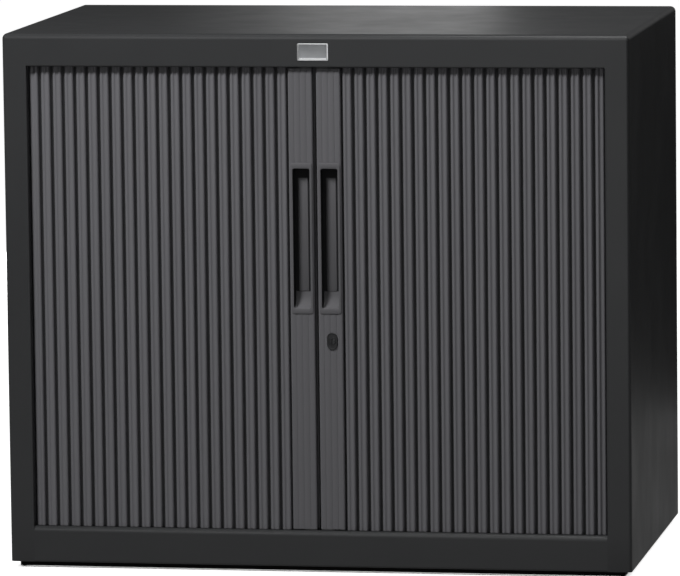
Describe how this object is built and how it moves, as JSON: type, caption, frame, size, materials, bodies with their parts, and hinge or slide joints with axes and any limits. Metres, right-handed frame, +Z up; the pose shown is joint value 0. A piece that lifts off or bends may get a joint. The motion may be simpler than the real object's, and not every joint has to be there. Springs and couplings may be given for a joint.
{
  "type": "roll front tool cabinet",
  "caption": "Low steel storage cabinet with a pair of ribbed side-sliding curtain doors, recessed pull handles, a lock and inner shelves.",
  "frame": {"origin": "on the floor, under the middle of the cabinet's bounding box", "axes": "+X to the right as seen from the front, +Y from the front to the back, +Z up"},
  "size_m": [0.8, 0.47, 0.685],
  "materials": {
    "carcass_paint": "satin powder coat, near black grey",
    "inner_paint": "satin powder coat",
    "track_plastic": "smooth extruded plastic",
    "slat_plastic": "satin extruded plastic, dark grey",
    "lead_rail_finish": "satin, the slats' grey",
    "handle_plastic": "fine moulded grain",
    "glide_plastic": "smooth moulded plastic",
    "plinth_plastic": "black",
    "foot_plastic": "black moulded plastic",
    "zinc_steel": "zinc plated",
    "black_screw": "blackened steel",
    "badge_metal": "satin, blank",
    "buffer_rubber": "soft black rubber",
    "lock_plastic": "black, satin",
    "lock_metal": "darkened steel"
  },
  "bodies": {
    "carcass": {"top_panel": "carcass_paint", "side_panel_left": "carcass_paint", "side_panel_right": "carcass_paint", "bottom_rail": "carcass_paint", "base_panel": "inner_paint", "ceiling_panel": "inner_paint", "back_panel": "inner_paint", "liner_left": "inner_paint", "track_top_left": "track_plastic", "track_bottom_left": "track_plastic", "liner_right": "inner_paint", "track_top_right": "track_plastic", "track_bottom_right": "track_plastic", "shelf_lower": "inner_paint", "shelf_upper": "inner_paint", "shelf_clips": "zinc_steel", "plinth_front": "plinth_plastic", "plinth_rear": "plinth_plastic", "plinth_left": "plinth_plastic", "plinth_right": "plinth_plastic", "foot_brackets": "zinc_steel", "access_caps": "glide_plastic", "foot_nuts": "zinc_steel", "badge_plate": "badge_metal", "back_screws": "black_screw", "liner_screws": "zinc_steel", "stop_buffers": "buffer_rubber"},
    "left_door": {"lead_rail_left": "lead_rail_finish", "handle_left": "handle_plastic", "glides_left": "glide_plastic", "slats_left": "slat_plastic", "keeper_plate": "zinc_steel", "keeper_screws": "zinc_steel"},
    "right_door": {"lead_rail_right": "lead_rail_finish", "handle_right": "handle_plastic", "glides_right": "glide_plastic", "slats_right": "slat_plastic", "lock_housing": "lock_plastic", "lock_nut": "zinc_steel"},
    "lock_core": {"lock_plug": "lock_metal", "lock_cam": "zinc_steel", "cam_screw": "zinc_steel"},
    "foot_front_left": {"foot_pad_front_left": "foot_plastic", "foot_stud_front_left": "zinc_steel"},
    "foot_front_right": {"foot_pad_front_right": "foot_plastic", "foot_stud_front_right": "zinc_steel"},
    "foot_rear_left": {"foot_pad_rear_left": "foot_plastic", "foot_stud_rear_left": "zinc_steel"},
    "foot_rear_right": {"foot_pad_rear_right": "foot_plastic", "foot_stud_rear_right": "zinc_steel"}
  },
  "joints": [
    {"name": "left_door_slide", "type": "slide", "parent": "carcass", "child": "left_door", "axis": [-1, 0, 0], "range_m": [0, 0.3343], "deforming": ["slats_left"]},
    {"name": "right_door_slide", "type": "slide", "parent": "carcass", "child": "right_door", "axis": [1, 0, 0], "range_m": [0, 0.3343], "deforming": ["slats_right"]},
    {"name": "lock_turn", "type": "hinge", "parent": "right_door", "child": "lock_core", "pos_m": [0.0196, -0.22, 0.296], "axis": [0, 1, 0], "range_deg": [0, 90]},
    {"name": "foot_front_left_screw", "type": "slide", "parent": "carcass", "child": "foot_front_left", "axis": [0, 0, -1], "range_m": [0, 0.012]},
    {"name": "foot_front_right_screw", "type": "slide", "parent": "carcass", "child": "foot_front_right", "axis": [0, 0, -1], "range_m": [0, 0.012]},
    {"name": "foot_rear_left_screw", "type": "slide", "parent": "carcass", "child": "foot_rear_left", "axis": [0, 0, -1], "range_m": [0, 0.012]},
    {"name": "foot_rear_right_screw", "type": "slide", "parent": "carcass", "child": "foot_rear_right", "axis": [0, 0, -1], "range_m": [0, 0.012]}
  ]
}
